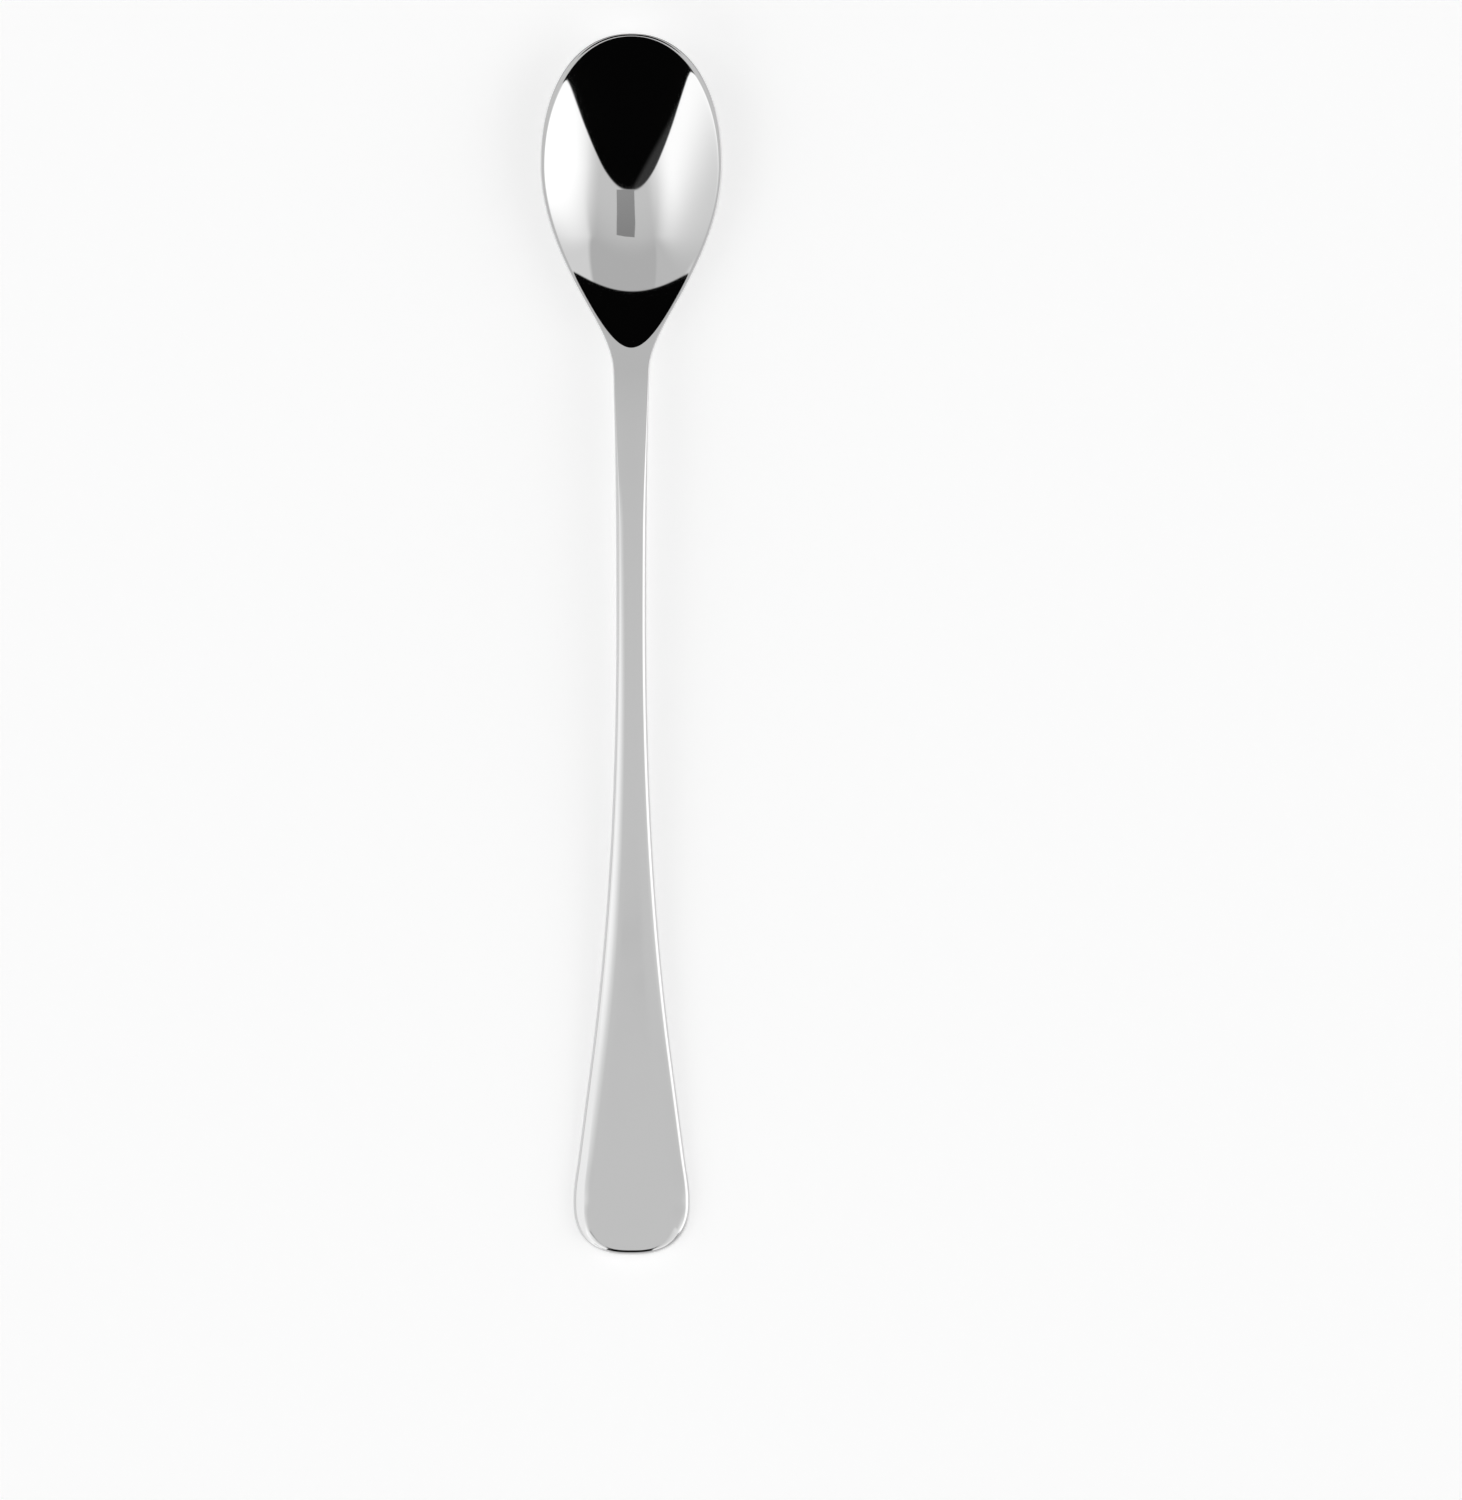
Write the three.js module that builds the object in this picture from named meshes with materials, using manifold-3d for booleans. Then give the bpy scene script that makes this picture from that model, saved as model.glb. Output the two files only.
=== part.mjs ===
// Long-handled cocktail spoon in polished stainless steel, lying on its back on a table.
// Millimetres, +Z up. Z = 0 is the table, +Y points to the bowl's tip and X = 0 is the plane of symmetry.
// The bowl carries a short tang that is brazed into a blind socket in the handle's neck.
import * as THREE from "three";
import { mergeVertices } from "three/addons/utils/BufferGeometryUtils.js";
import Module from "manifold-3d";

const wasm = await Module();
wasm.setup();

// Outline seen from above: full widths, and where along the spoon each one is reached.
const overallLength = 200;
const bowlWidth = 29.7;
const tipToWidest = 21.6;
const bowlRoundness = 2.2;
const flankWidth = 15.4;
const tipToFlank = 43.6;
const flankSlope = 0.565;
const neckWidth = 5.9;
const tipToNeck = 55.4;
const neckSlope = 0.03;
const stemWidth = 4.9;
const tipToWaist = 96;
const flareWidth = 13.2;
const endToFlare = 32.2;
const shoulderWidth = 17.5;
const endToShoulder = 15.8;
const endWidth = 19.1;
const endToWidest = 8.8;
const endRoundness = 2.5;

// Side view: the face on top, the hollow's floor and the back underneath.
const bowlDepth = 5;
const bowlWall = 1.1;
const tipToDeepest = 33;
const tipLift = 0.7;
const tipSlope = 0.28;
const rootSlope = 0.48;
const neckHeight = 6.9;
const neckRise = 0.06;
const neckThickness = 3;
const tipToCrown = 72;
const crownHeight = 7.2;
const stemThickness = 2.8;
const padLength = 12;
const padThickness = 2.4;
const padSlope = 0.03;

// Cross sections: rim, crowned face and rounded edges of the handle, and the power of the bowl's curves.
const rimLand = 0.5;
const rimRound = 0.42;
const rimFall = 0.45;
const rimThickness = 0.95;
const tipToStem = 82;
const crownReach = 4;
const footCrown = 0.75;
const crownSlope = 0.29;
const handleRound = 0.65;
const handleFall = 0.6;
const backRoll = 2;
const hollowPower = 2;
const flankEase = 0.05;
const bellyPower = 2.2;
const hollowRoundness = 2.1;
const tipToRoot = 51.5;

// Brazed joint at the neck.
const tangLength = 6.5;
const socketSideWall = 1.35;
const socketFaceWall = 0.85;
const brazeGap = 0.15;
const tangRoot = 2;

// Mesh density, and the distance under which two corners are one.
const tipRows = 14;
const endRows = 10;
const bowlStep = 1;
const handleStep = 4;
const hollowSteps = 8;
const landSteps = 7;
const backSteps = 9;
const weldDistance = 1e-3;

const yTip = overallLength / 2;
const yHollowTip = yTip - rimLand;
const yEnd = -overallLength / 2;
const yWidest = yTip - tipToWidest;
const yDeepest = yTip - tipToDeepest;
const yFlank = yTip - tipToFlank;
const yRoot = yTip - tipToRoot;
const yNeck = yTip - tipToNeck;
const yCrown = yTip - tipToCrown;
const yStem = yTip - tipToStem;
const yWaist = yTip - tipToWaist;
const yFlare = yEnd + endToFlare;
const yShoulder = yEnd + endToShoulder;
const yEndWidest = yEnd + endToWidest;
const yPad = yEnd + padLength;

const bowlHalf = bowlWidth / 2;
const endHalf = endWidth / 2;
const tipSize = [bowlHalf, tipToWidest];
const hollowSize = [bowlHalf - rimLand, tipToWidest - rimLand];
const endSize = [endHalf, -endToWidest];
const rimHeight = bowlDepth + bowlWall;
const flareSlope = (flareWidth - shoulderWidth) / 2 / (endToFlare - endToShoulder);

// The hollow closes in a rounded V that runs on from the flanks without a corner.
const flankHollow = flankWidth / 2 - rimLand;
const rootLength = tipToRoot - tipToFlank;
const rootRadius = flankHollow ** 2 / rootLength - flankSlope * flankHollow;
const rootSpread = (flankHollow ** 2 / rootLength - 2 * rootRadius) / rootLength;

// Profiles are lists of stations from the tip to the end: place y, value v and slope there.
const outline = [
  { y: yWidest, v: bowlHalf, slope: 0 },
  { y: yFlank, v: flankWidth / 2, slope: flankSlope },
  { y: yNeck, v: neckWidth / 2, slope: neckSlope },
  { y: yWaist, v: stemWidth / 2, slope: 0 },
  { y: yFlare, v: flareWidth / 2, slope: flareSlope },
  { y: yShoulder, v: shoulderWidth / 2, slope: flareSlope },
  { y: yEndWidest, v: endHalf, slope: 0 },
];
const face = [
  { y: yTip, v: rimHeight + tipLift, slope: (2 * tipLift) / tipToDeepest },
  { y: yDeepest, v: rimHeight, slope: 0 },
  { y: yNeck, v: neckHeight, slope: -neckRise },
  { y: yCrown, v: crownHeight, slope: 0 },
  { y: yPad, v: padThickness, slope: padSlope },
  { y: yEnd, v: padThickness - padSlope * padLength, slope: padSlope },
];
const back = [
  { y: yTip, v: rimHeight + tipLift - rimThickness, slope: tipSlope },
  { y: yDeepest, v: 0, slope: 0 },
  { y: yNeck, v: neckHeight - neckThickness, slope: -neckRise },
  { y: yCrown, v: crownHeight - stemThickness, slope: 0 },
  { y: yPad, v: 0, slope: 0 },
  { y: yEnd, v: 0, slope: 0 },
];
const floor = [
  { y: yHollowTip, v: valueAt(face, yHollowTip), slope: tipSlope },
  { y: yDeepest, v: bowlWall, slope: 0 },
  { y: yRoot, v: valueAt(face, yRoot), slope: -rootSlope },
];

// Cubic between two stations that keeps both values and both slopes.
function cubic(a, b, y) {
  const span = b.y - a.y;
  const t = (y - a.y) / span;
  const u = 1 - t;
  const ends = a.v * u * u * (1 + 2 * t) + b.v * t * t * (1 + 2 * u);
  return ends + span * t * u * (a.slope * u - b.slope * t);
}

function valueAt(profile, y) {
  const next = profile.findIndex((station, i) => i > 0 && y >= station.y);
  const i = next < 0 ? profile.length - 1 : next;
  return cubic(profile[i - 1], profile[i], y);
}

// Half width of a superellipse of the given [x, y] size, at a distance along y from its middle.
function tipHalf(size, power, along) {
  return size[0] * (1 - (along / size[1]) ** power) ** (1 / power);
}

function outlineHalf(y) {
  if (y > yWidest) return tipHalf(tipSize, bowlRoundness, y - yWidest);
  return valueAt(outline, Math.max(y, yEndWidest));
}

// Half width of the hollow: the rim's land inside the outline, then a rounded V that closes at the root.
function hollowHalf(y) {
  if (y > yWidest) return tipHalf(hollowSize, hollowRoundness, y - yWidest);
  if (y >= yFlank) return valueAt(outline, y) - rimLand;
  const e = Math.max(0, y - yRoot);
  return Math.sqrt(e * (2 * rootRadius + rootSpread * e));
}

// 0 on the bowl's side of yFrom and 1 past yFull, easing from one to the other.
function ease(yFrom, yFull, y) {
  return THREE.MathUtils.smoothstep(-y, -yFrom, -yFull);
}

// Fall of a quarter-ellipse edge of the given width and drop.
// reach is the half width that carries it and rho the place as a share of reach.
function edgeFall(rho, reach, width, drop) {
  const t = Math.max(0, 1 - ((1 - rho) * reach) / width);
  return drop * (1 - Math.sqrt(Math.max(0, 1 - t * t)));
}

// A roll no wider than the half width that carries it, blended without a corner.
function rollWidth(roll, reach) {
  return (roll * reach) / Math.hypot(roll, reach);
}

// Height of the face without the hollow. Along the handle it is crowned and falls ever more to the edge.
// foot is 0 along the handle's sides and 1 at the middle of its foot, where the crown is narrow.
function faceHeight(y, rho, reach, foot) {
  const onHandle = ease(yNeck, yStem, y);
  const width = THREE.MathUtils.lerp(rimRound, handleRound, onHandle);
  const drop = THREE.MathUtils.lerp(rimFall, handleFall, onHandle);
  const crownWidth = rollWidth(THREE.MathUtils.lerp(crownReach, footCrown, foot), reach);
  const inside = Math.min(1, ((1 - rho) * reach) / crownWidth);
  const crown = (crownSlope * crownWidth * (1 - inside) ** 2 * (2 + inside)) / 3;
  return valueAt(face, y) - edgeFall(rho, reach, width, drop) - onHandle * crown;
}

// Height of the back: a belly under the bowl, and flat with rolled edges under the handle.
function backHeight(x, y, rho, reach, foot) {
  const under = valueAt(back, y);
  const rise = faceHeight(y, 1, reach, foot) - under;
  const rimBelow = rimThickness - rimFall;
  const bulge = (x / outlineHalf(y)) ** bellyPower;
  const belly = (rise - rimBelow) * bulge + edgeFall(rho, reach, rimRound, rimBelow);
  const flat = edgeFall(rho, reach, rollWidth(backRoll, reach), rise);
  return under + THREE.MathUtils.lerp(belly, flat, ease(yFlank, yNeck, y));
}

// Depth of the hollow below the face. Its flanks ease off a little towards the root.
function hollowFall(x, y) {
  if (y <= yRoot) return 0;
  const depth = valueAt(face, y) - valueAt(floor, y);
  const share = (x / hollowHalf(y)) ** hollowPower;
  return depth * (1 - share) * (1 - flankEase * ease(yWidest, yFlank, y) * share);
}

// Half section from the middle of the face, over the edge, to the middle of the back.
// yMiddle is the place of the middle.
// edge and hollow are [x, y] from there to the outline and to the hollow's edge.
function halfSection(yMiddle, edge, hollow) {
  const reach = Math.hypot(...edge);
  const foot = THREE.MathUtils.smoothstep(Math.abs(edge[1]) / reach, 0, 1);
  const at = (x, y, height) => {
    const place = yMiddle + y;
    return new THREE.Vector3(x, place, height(place, Math.hypot(x, y) / reach));
  };
  const points = [];
  for (let k = 0; k < hollowSteps; k++) {
    const v = k / hollowSteps;
    const x = v * hollow[0];
    const dug = (place, rho) => faceHeight(place, rho, reach, foot) - hollowFall(x, place);
    points.push(at(x, v * hollow[1], dug));
  }
  for (let k = 0; k <= landSteps; k++) {
    const g = Math.sin(((k / landSteps) * Math.PI) / 2);
    const x = THREE.MathUtils.lerp(hollow[0], edge[0], g);
    const y = THREE.MathUtils.lerp(hollow[1], edge[1], g);
    points.push(at(x, y, (place, rho) => faceHeight(place, rho, reach, foot)));
  }
  for (let k = 1; k <= backSteps; k++) {
    const rho = k < backSteps ? Math.cos(((k / backSteps) * Math.PI) / 2) : 0;
    const x = rho * edge[0];
    points.push(at(x, rho * edge[1], (place) => backHeight(x, place, rho, reach, foot)));
  }
  return points;
}

// Half sections that fan round a rounded end, from the plane of symmetry to the widest place.
// edge and hollow are the [x, y] sizes of two superellipses, from the middle of the end.
function roundedEnd(yMiddle, edge, roundness, hollow, rows) {
  const sections = [];
  for (let k = 0; k < rows; k++) {
    const angle = ((1 - k / rows) * Math.PI) / 2;
    const onCurve = ([x, y], power) => [
      x * Math.cos(angle) ** (2 / power),
      y * Math.sin(angle) ** (2 / power),
    ];
    sections.push(halfSection(yMiddle, onCurve(edge, roundness), onCurve(hollow, hollowRoundness)));
  }
  return sections;
}

// Half sections along the spoon through every break, with steps no longer than the one given.
function straightRun(breaks, step) {
  const places = [...new Set(breaks)].sort((a, b) => b - a);
  const sections = [];
  places.forEach((from, i) => {
    const to = places[i + 1] ?? from;
    const steps = Math.max(1, Math.ceil((from - to) / step));
    for (let k = 0; k < steps; k++) {
      const y = THREE.MathUtils.lerp(from, to, k / steps);
      sections.push(halfSection(y, [valueAt(outline, y), 0], [hollowHalf(y), 0]));
    }
  });
  return sections;
}

// Skins both halves of a row of sections and closes it flat at the section that lies in the joint.
function skin(sections, joint, towardsEnd) {
  const corners = [];
  const addBoth = (a, b, c) => {
    corners.push(a, b, c);
    [a, c, b].forEach((p) => corners.push(new THREE.Vector3(-p.x, p.y, p.z)));
  };
  for (let i = 0; i + 1 < sections.length; i++) {
    for (let k = 0; k + 1 < sections[i].length; k++) {
      addBoth(sections[i][k], sections[i + 1][k], sections[i + 1][k + 1]);
      addBoth(sections[i][k], sections[i + 1][k + 1], sections[i][k + 1]);
    }
  }
  const middle = joint[0].clone().lerp(joint[joint.length - 1], 0.5);
  for (let k = 0; k + 1 < joint.length; k++) {
    if (towardsEnd) addBoth(middle, joint[k + 1], joint[k]);
    else addBoth(middle, joint[k], joint[k + 1]);
  }
  return new THREE.BufferGeometry().setFromPoints(corners);
}

// Closed geometry as a solid for joining and cutting, without the slivers that closed-up sections leave.
function solidOf(geometry) {
  const bare = geometry.clone();
  bare.deleteAttribute("normal");
  bare.deleteAttribute("uv");
  const merged = mergeVertices(bare, weldDistance);
  const index = merged.index.array;
  const kept = [];
  for (let i = 0; i < index.length; i += 3) {
    const [a, b, c] = index.slice(i, i + 3);
    if (a !== b && b !== c && c !== a) kept.push(a, b, c);
  }
  const vertProperties = merged.attributes.position.array;
  const triVerts = new Uint32Array(kept);
  return new wasm.Manifold(new wasm.Mesh({ numProp: 3, vertProperties, triVerts }));
}

function meshOf(name, solid, material) {
  const { vertProperties, triVerts } = solid.getMesh();
  const geometry = new THREE.BufferGeometry();
  geometry.setAttribute("position", new THREE.BufferAttribute(vertProperties, 3));
  geometry.setIndex(new THREE.BufferAttribute(triVerts, 1));
  geometry.computeVertexNormals();
  const mesh = new THREE.Mesh(geometry, material);
  mesh.name = name;
  return mesh;
}

// Square bar along Y, centred on the neck's section.
function neckBar(width, thickness, yFrom, yTo) {
  const bar = new THREE.BoxGeometry(width, yFrom - yTo, thickness);
  return bar.translate(0, (yFrom + yTo) / 2, neckHeight - neckThickness / 2);
}

const socketWidth = neckWidth - 2 * socketSideWall;
const socketThickness = neckThickness - 2 * socketFaceWall;
const tangWidth = socketWidth - 2 * brazeGap;
const tangThickness = socketThickness - 2 * brazeGap;
const yTangEnd = yNeck - tangLength;
const ySocketEnd = yTangEnd - brazeGap;

function makeBowl() {
  const sections = [
    ...roundedEnd(yWidest, tipSize, bowlRoundness, hollowSize, tipRows),
    ...straightRun([yWidest, yDeepest, yFlank, yRoot, yNeck], bowlStep),
  ];
  const shell = solidOf(skin(sections, sections[sections.length - 1], true));
  const tang = solidOf(neckBar(tangWidth, tangThickness, yNeck + tangRoot, yTangEnd));
  return shell.add(tang);
}

function makeHandle() {
  const sections = [
    ...straightRun([yNeck, yWaist, yFlare, yShoulder, yPad, yEndWidest], handleStep),
    ...roundedEnd(yEndWidest, endSize, endRoundness, [0, 0], endRows).reverse(),
  ];
  const body = solidOf(skin(sections, sections[0], false));
  const socket = solidOf(neckBar(socketWidth, socketThickness, yNeck + tangRoot, ySocketEnd));
  return body.subtract(socket);
}

function makeBraze() {
  const filled = solidOf(neckBar(socketWidth, socketThickness, yNeck, ySocketEnd));
  const tang = solidOf(neckBar(tangWidth, tangThickness, yNeck + tangRoot, yTangEnd));
  return filled.subtract(tang);
}

const steelLook = { color: 0xc9cacb, metalness: 1, roughness: 0.06 };
const bowlSteel = new THREE.MeshStandardMaterial(steelLook);
const handleSteel = new THREE.MeshStandardMaterial(steelLook);
const silverBraze = new THREE.MeshStandardMaterial({ color: 0xd8d2bf, metalness: 1, roughness: 0.45 });

const spoon = new THREE.Group();
spoon.add(meshOf("bowl", makeBowl(), bowlSteel));
spoon.add(meshOf("handle", makeHandle(), handleSteel));
spoon.add(meshOf("neck_braze", makeBraze(), silverBraze));

export default spoon;
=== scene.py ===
"""Polished cocktail spoon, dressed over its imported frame.

Sizes in the classes are millimetres, as a maker gives them, and meshes are written in metres.
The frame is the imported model's: +Z up, +Y towards the bowl's tip, X = 0 the plane of symmetry.
"""

import logging
import math
from dataclasses import dataclass, field
from enum import Enum
from functools import cached_property
from typing import Any

import bmesh
import bpy
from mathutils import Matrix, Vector


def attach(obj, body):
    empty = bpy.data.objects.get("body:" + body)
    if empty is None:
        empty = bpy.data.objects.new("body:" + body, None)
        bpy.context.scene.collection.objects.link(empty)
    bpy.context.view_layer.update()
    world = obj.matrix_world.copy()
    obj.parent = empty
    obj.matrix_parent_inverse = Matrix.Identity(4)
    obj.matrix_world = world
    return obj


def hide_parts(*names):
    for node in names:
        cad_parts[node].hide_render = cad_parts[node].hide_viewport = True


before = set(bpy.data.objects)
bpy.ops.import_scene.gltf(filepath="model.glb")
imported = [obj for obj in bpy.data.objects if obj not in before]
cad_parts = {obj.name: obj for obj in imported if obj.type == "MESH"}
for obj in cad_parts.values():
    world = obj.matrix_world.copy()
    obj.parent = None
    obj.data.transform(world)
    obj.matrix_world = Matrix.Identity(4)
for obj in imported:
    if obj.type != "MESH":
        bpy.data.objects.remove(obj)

MM = 0.001
TINY = 1e-9
SRGB_STEP = 0.04045
SRGB_SLOPE = 12.92
SRGB_OFFSET = 0.055
SRGB_POWER = 2.4
log = logging.getLogger("spoon")

Pair = tuple[float, float]
Point = tuple[float, float, float]
Socket = bpy.types.NodeSocket
Tree = bpy.types.NodeTree


class CadNode(Enum):
    """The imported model's nodes."""

    BOWL = "bowl"
    HANDLE = "handle"
    BRAZE = "neck_braze"


class Slot(Enum):
    """Names of the spoon's material slots."""

    BOWL = "bowl_steel"
    HANDLE = "handle_steel"


class JointPart(Enum):
    """Which half of the brazed neck a piece carries."""

    TANG = "tang"
    SOCKET = "socket"


def linear(code: str) -> tuple[float, float, float, float]:
    """Turns an sRGB hex colour to linear.

    Args:
        code: Six hex digits after a hash sign.

    Returns:
        Linear red, green, blue and an alpha of 1.
    """
    shares = [int(code[i:i + 2], 16) / 255 for i in (1, 3, 5)]
    red, green, blue = (
        s / SRGB_SLOPE if s <= SRGB_STEP else ((s + SRGB_OFFSET) / (1 + SRGB_OFFSET)) ** SRGB_POWER for s in shares)
    return red, green, blue, 1.0


def mix(a: float, b: float, share: float) -> float:
    """Value between a and b at the given share of the way."""
    return a + (b - a) * share


def smooth(start: float, stop: float, value: float) -> float:
    """Eases from 0 at start to 1 at stop."""
    t = min(1.0, max(0.0, (value - start) / (stop - start)))
    return t * t * (3 - 2 * t)


def add_node(tree: Tree, kind: str, settings: dict[str, Any] | None = None,
             inputs: dict[int | str, Any] | None = None) -> bpy.types.Node:
    """Adds a node with its settings and links.

    Args:
        tree: Node tree that takes the node.
        kind: The node's type name.
        settings: Attributes to set on the node.
        inputs: Value, or output socket to link, for each input by name or number.

    Returns:
        The new node.
    """
    node = tree.nodes.new(kind)
    for name, value in (settings or {}).items():
        setattr(node, name, value)
    for key, value in (inputs or {}).items():
        if isinstance(value, Socket):
            tree.links.new(value, node.inputs[key])
        else:
            node.inputs[key].default_value = value
    return node


def empty_tree(owner: bpy.types.Material | bpy.types.World) -> Tree:
    """Turns nodes on for a material or world and clears its tree.

    Args:
        owner: The material or world.

    Returns:
        Its node tree, without nodes.
    """
    owner.use_nodes = True
    owner.node_tree.nodes.clear()
    return owner.node_tree


def calc(tree: Tree, operation: str, *values: Socket | float) -> Socket:
    """Result of a math node on sockets or numbers."""
    return add_node(tree, "ShaderNodeMath", {"operation": operation}, dict(enumerate(values))).outputs[0]


def blend(tree: Tree, share: Socket, under: Socket | float, over: Socket | float) -> Socket:
    """Number that turns from under to over with the share."""
    return add_node(tree, "ShaderNodeMix", inputs={0: share, 2: under, 3: over}).outputs[0]


def tint(tree: Tree, share: Socket, dark: str, light: str) -> Socket:
    """Colour that turns from dark to light, both sRGB hex, with the share."""
    return add_node(tree, "ShaderNodeMix", {"data_type": "RGBA"}, {
        0: share, 6: linear(dark), 7: linear(light)}).outputs[2]


def noise(tree: Tree, place: Socket, scale: float, detail: float, gain: float = 0.5) -> Socket:
    """Noise of a scale per metre, with its detail and how strongly the detail shows."""
    return add_node(tree, "ShaderNodeTexNoise", inputs={
        "Vector": place, "Scale": scale, "Detail": detail, "Roughness": gain}).outputs["Fac"]


@dataclass(frozen=True)
class Station:
    """One place on a profile: where it lies along the spoon, the value there and its slope."""

    y: float
    value: float
    slope: float


@dataclass(frozen=True)
class Profile:
    """Smooth line through stations that run from the tip to the end."""

    stations: tuple[Station, ...]

    def at(self, y: float) -> float:
        """Reads the profile with a cubic that keeps the values and slopes of both neighbours.

        Args:
            y: Place along the spoon.

        Returns:
            The value there.
        """
        last = len(self.stations) - 1
        index = next((i for i, s in enumerate(self.stations) if i and y >= s.y), last)
        a, b = self.stations[index - 1], self.stations[index]
        span = b.y - a.y
        t = (y - a.y) / span
        u = 1 - t
        ends = a.value * u * u * (1 + 2 * t) + b.value * t * t * (1 + 2 * u)
        return ends + span * t * u * (a.slope * u - b.slope * t)


@dataclass(frozen=True)
class SpoonForm:
    """Shape of the whole spoon, with the solids' named sizes and finer roundings at the rim."""

    overall_length: float = 200.0
    bowl_width: float = 29.7
    tip_to_widest: float = 21.6
    bowl_roundness: float = 2.2
    flank_width: float = 15.4
    tip_to_flank: float = 43.6
    flank_slope: float = 0.565
    neck_width: float = 5.9
    tip_to_neck: float = 55.4
    neck_slope: float = 0.03
    stem_width: float = 4.9
    tip_to_waist: float = 96.0
    flare_width: float = 13.2
    end_to_flare: float = 32.2
    shoulder_width: float = 17.5
    end_to_shoulder: float = 15.8
    end_width: float = 19.1
    end_to_widest: float = 8.8
    end_roundness: float = 2.5
    bowl_depth: float = 5.0
    bowl_wall: float = 1.1
    tip_to_deepest: float = 33.0
    tip_lift: float = 0.7
    tip_slope: float = 0.28
    root_slope: float = 0.48
    neck_height: float = 6.9
    neck_rise: float = 0.06
    neck_thickness: float = 3.0
    tip_to_crown: float = 72.0
    crown_height: float = 7.2
    stem_thickness: float = 2.8
    pad_length: float = 12.0
    pad_thickness: float = 2.4
    pad_slope: float = 0.03
    rim_land: float = 0.5
    rim_round: float = 0.22
    rim_crest: float = 0.3
    rim_lip: float = 0.07
    lip_least: float = 0.33
    tip_to_lip: float = 14.0
    rim_dip: float = 0.03
    corner_dip: float = 0.012
    rim_fall: float = 0.45
    rim_thickness: float = 0.95
    tip_to_stem: float = 82.0
    crown_reach: float = 4.0
    foot_crown: float = 0.75
    crown_slope: float = 0.29
    handle_round: float = 0.65
    handle_fall: float = 0.6
    back_roll: float = 2.0
    hollow_power: float = 2.0
    flank_ease: float = 0.05
    belly_power: float = 2.2
    hollow_roundness: float = 2.1
    tip_to_root: float = 51.5
    weld: float = 1e-4

    @property
    def y_tip(self) -> float:
        """Place of the bowl's tip."""
        return self.overall_length / 2

    @property
    def y_end(self) -> float:
        """Place of the handle's end."""
        return -self.overall_length / 2

    @cached_property
    def y_widest(self) -> float:
        """Place where the bowl is widest."""
        return self.y_tip - self.tip_to_widest

    @cached_property
    def y_deepest(self) -> float:
        """Place where the bowl is deepest."""
        return self.y_tip - self.tip_to_deepest

    @cached_property
    def y_flank(self) -> float:
        """Place where the bowl's flanks run straight."""
        return self.y_tip - self.tip_to_flank

    @cached_property
    def y_root(self) -> float:
        """Place where the hollow closes."""
        return self.y_tip - self.tip_to_root

    @cached_property
    def y_neck(self) -> float:
        """Place of the joint."""
        return self.y_tip - self.tip_to_neck

    @cached_property
    def y_stem(self) -> float:
        """Place from which the face has its full roll."""
        return self.y_tip - self.tip_to_stem

    @cached_property
    def y_end_widest(self) -> float:
        """Place where the handle's end is widest."""
        return self.y_end + self.end_to_widest

    @cached_property
    def y_hollow_tip(self) -> float:
        """Place of the hollow's edge at the tip."""
        return self.y_tip - self.rim_land

    @cached_property
    def tip_size(self) -> Pair:
        """Half width and length of the bowl's rounded tip."""
        return self.bowl_width / 2, self.tip_to_widest

    @cached_property
    def hollow_size(self) -> Pair:
        """Half width and length of the hollow's rounded tip."""
        return self.bowl_width / 2 - self.rim_land, self.tip_to_widest - self.rim_land

    @cached_property
    def end_size(self) -> Pair:
        """Half width and length of the handle's rounded end."""
        return self.end_width / 2, -self.end_to_widest

    @cached_property
    def root_curve(self) -> Pair:
        """Rounded V in which the hollow closes, without a corner at the flanks.

        Returns:
            Its radius and spread.
        """
        half = self.flank_width / 2 - self.rim_land
        length = self.tip_to_root - self.tip_to_flank
        radius = half ** 2 / length - self.flank_slope * half
        return radius, (half ** 2 / length - 2 * radius) / length

    @cached_property
    def outline(self) -> Profile:
        """Half width between the widest places of bowl and end.

        Returns:
            The profile.
        """
        flare = (self.flare_width - self.shoulder_width) / 2 / (self.end_to_flare - self.end_to_shoulder)
        return Profile((
            Station(self.y_widest, self.bowl_width / 2, 0.0),
            Station(self.y_flank, self.flank_width / 2, self.flank_slope),
            Station(self.y_neck, self.neck_width / 2, self.neck_slope),
            Station(self.y_tip - self.tip_to_waist, self.stem_width / 2, 0.0),
            Station(self.y_end + self.end_to_flare, self.flare_width / 2, flare),
            Station(self.y_end + self.end_to_shoulder, self.shoulder_width / 2, flare),
            Station(self.y_end_widest, self.end_width / 2, 0.0),
        ))

    @cached_property
    def face(self) -> Profile:
        """Height of the face along the middle, as if there were no hollow.

        Returns:
            The profile.
        """
        rim = self.bowl_depth + self.bowl_wall
        y_pad = self.y_end + self.pad_length
        return Profile((
            Station(self.y_tip, rim + self.tip_lift, 2 * self.tip_lift / self.tip_to_deepest),
            Station(self.y_deepest, rim, 0.0),
            Station(self.y_neck, self.neck_height, -self.neck_rise),
            Station(self.y_tip - self.tip_to_crown, self.crown_height, 0.0),
            Station(y_pad, self.pad_thickness, self.pad_slope),
            Station(self.y_end, self.pad_thickness - self.pad_slope * self.pad_length, self.pad_slope),
        ))

    @cached_property
    def back(self) -> Profile:
        """Height of the back along the middle.

        Returns:
            The profile.
        """
        rim = self.bowl_depth + self.bowl_wall
        return Profile((
            Station(self.y_tip, rim + self.tip_lift - self.rim_thickness, self.tip_slope),
            Station(self.y_deepest, 0.0, 0.0),
            Station(self.y_neck, self.neck_height - self.neck_thickness, -self.neck_rise),
            Station(self.y_tip - self.tip_to_crown, self.crown_height - self.stem_thickness, 0.0),
            Station(self.y_end + self.pad_length, 0.0, 0.0),
            Station(self.y_end, 0.0, 0.0),
        ))

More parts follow.
